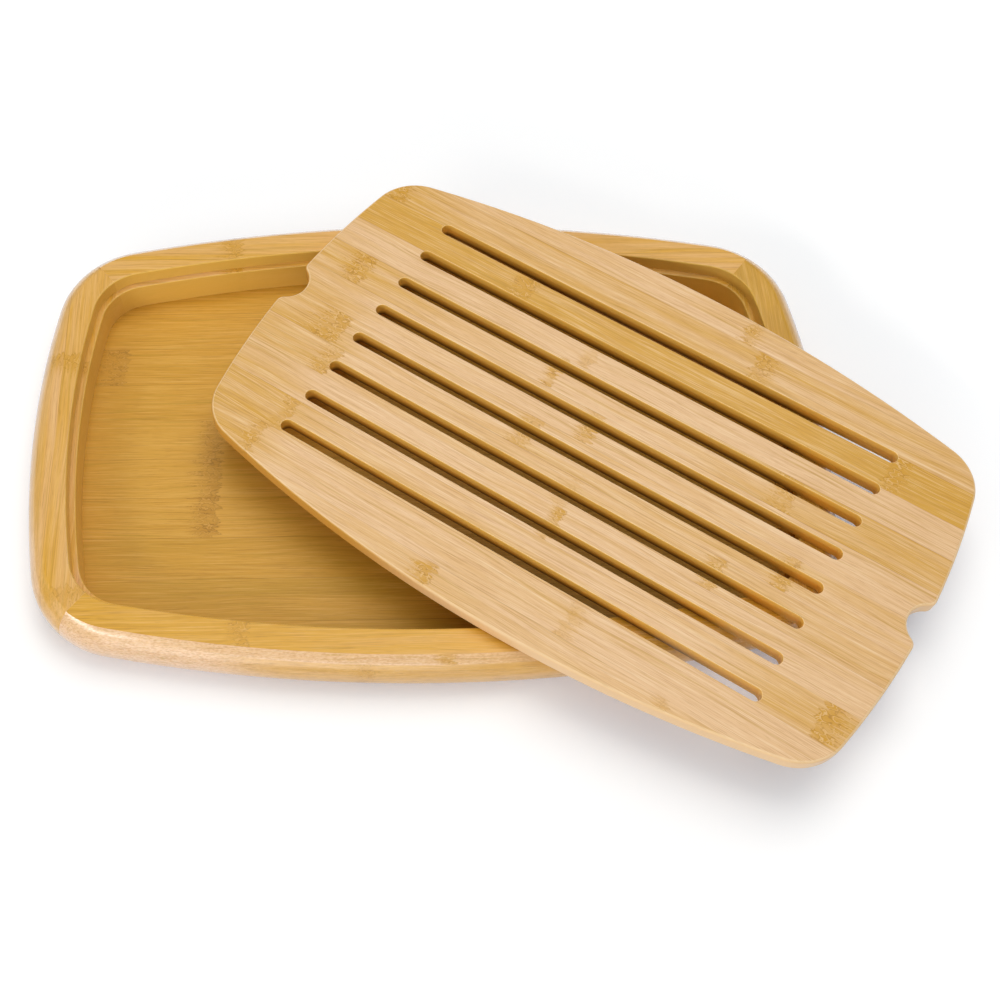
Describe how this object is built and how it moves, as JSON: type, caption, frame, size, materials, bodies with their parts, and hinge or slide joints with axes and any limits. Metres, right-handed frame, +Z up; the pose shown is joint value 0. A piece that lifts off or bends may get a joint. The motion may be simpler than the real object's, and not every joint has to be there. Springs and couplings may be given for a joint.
{
  "type": "bread board with crumb tray",
  "caption": "Slotted bread board of laminated bamboo staves, lying turned across the rim of a mitred bamboo crumb tray with a rebated ledge that the board drops into.",
  "frame": {"origin": "middle of the tray's underside, on the table", "axes": "+X along the tray to the right, +Y across it to the back, +Z up"},
  "size_m": [0.4875, 0.3492, 0.037],
  "materials": {
    "rail_bamboo": "satin, oiled bamboo with straight grain along each rail",
    "floor_bamboo": "satin, oiled bamboo, darker golden than the rails",
    "stave_pinkish": "satin bamboo with fine lengthwise grain, pale and slightly pink",
    "stave_light": "satin bamboo with fine lengthwise grain, pale",
    "stave_tan": "satin bamboo with fine lengthwise grain, light tan",
    "stave_golden": "satin bamboo with fine lengthwise grain, deep golden"
  },
  "bodies": {
    "tray": {"rail_front": "rail_bamboo", "rail_back": "rail_bamboo", "rail_left": "rail_bamboo", "rail_right": "rail_bamboo", "floor_strip_01": "floor_bamboo", "floor_strip_02": "floor_bamboo", "floor_strip_03": "floor_bamboo", "floor_strip_04": "floor_bamboo", "floor_strip_05": "floor_bamboo", "floor_strip_06": "floor_bamboo", "floor_strip_07": "floor_bamboo", "floor_strip_08": "floor_bamboo", "floor_strip_09": "floor_bamboo", "floor_strip_10": "floor_bamboo"},
    "board": {"board_stave_01": "stave_pinkish", "board_stave_02": "stave_light", "board_stave_03": "stave_golden", "board_stave_04": "stave_pinkish", "board_stave_05": "stave_tan", "board_stave_06": "stave_light", "board_stave_07": "stave_tan", "board_stave_08": "stave_tan", "board_stave_09": "stave_light", "board_stave_10": "stave_tan", "board_stave_11": "stave_pinkish", "board_stave_12": "stave_light"}
  },
  "joints": [
    {"name": "board_lift", "type": "slide", "parent": "tray", "child": "board", "axis": [0, 0, 1], "range_m": [0, 0.12]}
  ]
}
